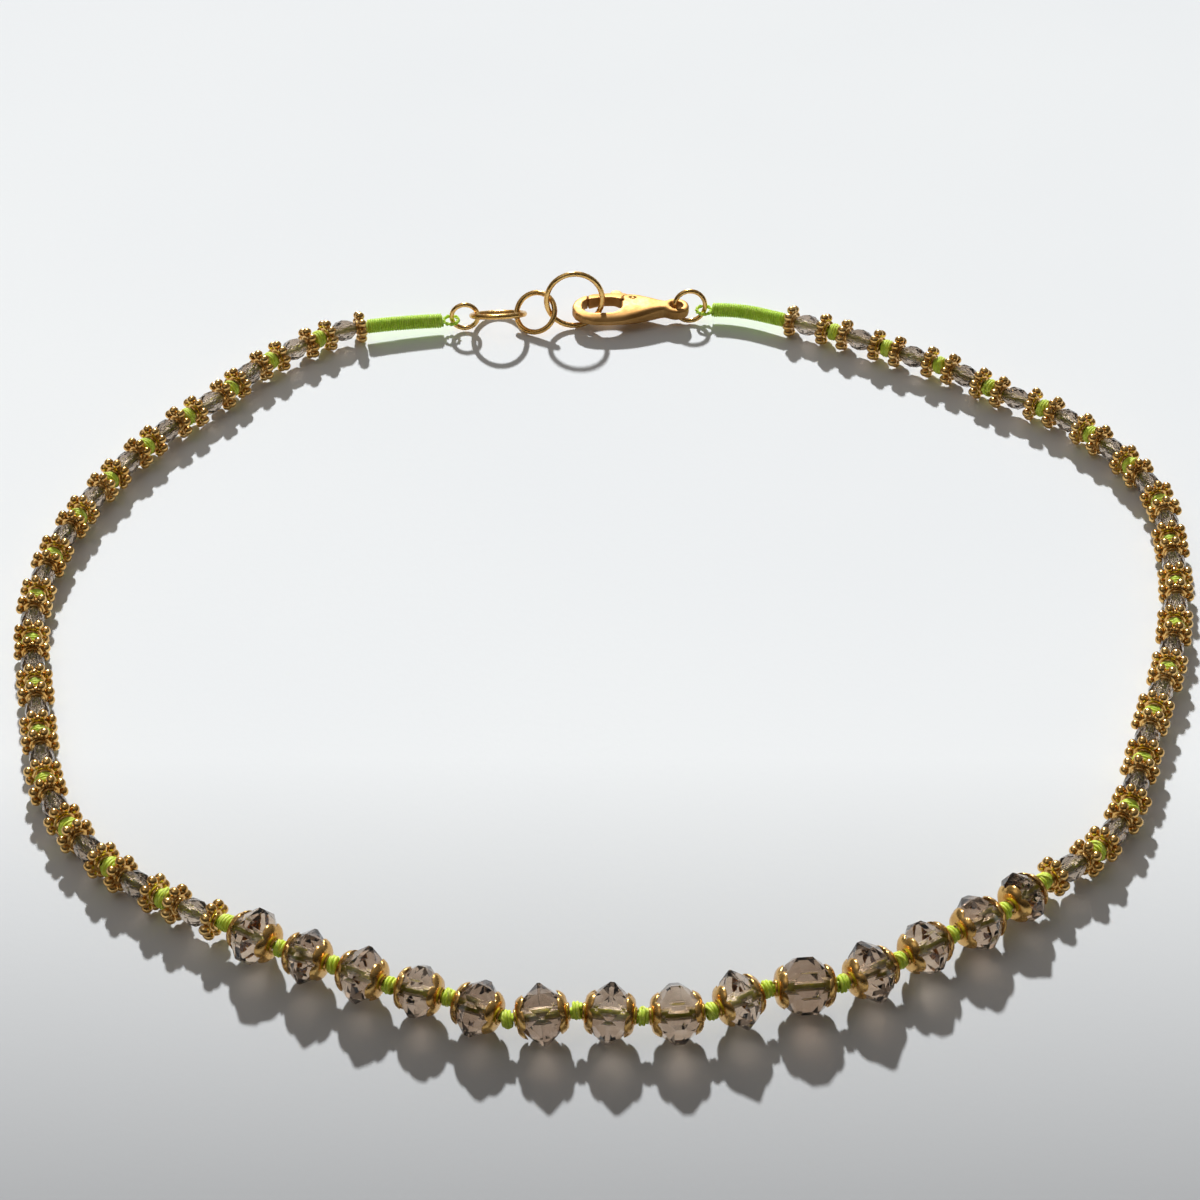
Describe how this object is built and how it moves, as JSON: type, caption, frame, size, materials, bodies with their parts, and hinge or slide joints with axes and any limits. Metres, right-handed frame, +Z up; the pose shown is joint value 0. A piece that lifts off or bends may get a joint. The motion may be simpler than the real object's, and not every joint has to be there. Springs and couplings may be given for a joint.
{
  "type": "gemstone necklace",
  "caption": "Short necklace lying in an open loop: faceted smoky stones in petalled gold caps knotted on green silk, daisy spacer strings and a lobster clasp.",
  "frame": {"origin": "middle of the box round the necklace, on the surface it lies on", "axes": "+Z up, +Y from the stones at the front to the clasp at the back, +X to the right seen from the front"},
  "size_m": [0.1328, 0.1248, 0.0078],
  "materials": {
    "smoky_quartz": "polished facets, transparent grey-brown quartz",
    "gold": "polished warm gold plate",
    "gold_daisies": "gold granulated spacers with small smoky faceted beads and green silk knots between them",
    "green_silk": "bright green silk thread, wound and knotted"
  },
  "bodies": {
    "necklace": {"bead_string_left": "gold_daisies", "bead_string_right": "gold_daisies", "cap_01_left": "gold", "cap_01_right": "gold", "cap_02_left": "gold", "cap_02_right": "gold", "cap_03_left": "gold", "cap_03_right": "gold", "cap_04_left": "gold", "cap_04_right": "gold", "cap_05_left": "gold", "cap_05_right": "gold", "cap_06_left": "gold", "cap_06_right": "gold", "cap_07_left": "gold", "cap_07_right": "gold", "cap_08_left": "gold", "cap_08_right": "gold", "cap_09_left": "gold", "cap_09_right": "gold", "cap_10_left": "gold", "cap_10_right": "gold", "cap_11_left": "gold", "cap_11_right": "gold", "cap_12_left": "gold", "cap_12_right": "gold", "cap_13_left": "gold", "cap_13_right": "gold", "cap_14_left": "gold", "cap_14_right": "gold", "clasp_body": "gold", "clasp_pin": "gold", "ring_1": "gold", "ring_2": "gold", "ring_3": "gold", "ring_4": "gold", "ring_5": "gold", "silk_front": "green_silk", "silk_wrap_left": "green_silk", "silk_wrap_right": "green_silk", "stone_01": "smoky_quartz", "stone_02": "smoky_quartz", "stone_03": "smoky_quartz", "stone_04": "smoky_quartz", "stone_05": "smoky_quartz", "stone_06": "smoky_quartz", "stone_07": "smoky_quartz", "stone_08": "smoky_quartz", "stone_09": "smoky_quartz", "stone_10": "smoky_quartz", "stone_11": "smoky_quartz", "stone_12": "smoky_quartz", "stone_13": "smoky_quartz", "stone_14": "smoky_quartz"},
    "clasp_lever": {"clasp_lever": "gold"}
  },
  "joints": [
    {"name": "clasp_lever_hinge", "type": "hinge", "parent": "necklace", "child": "clasp_lever", "pos_m": [0.00292, 0.06011, 0.00197], "axis": [0, 0, 1], "range_deg": [0, 18], "stiffness_Nm_per_rad": 0.0002}
  ]
}
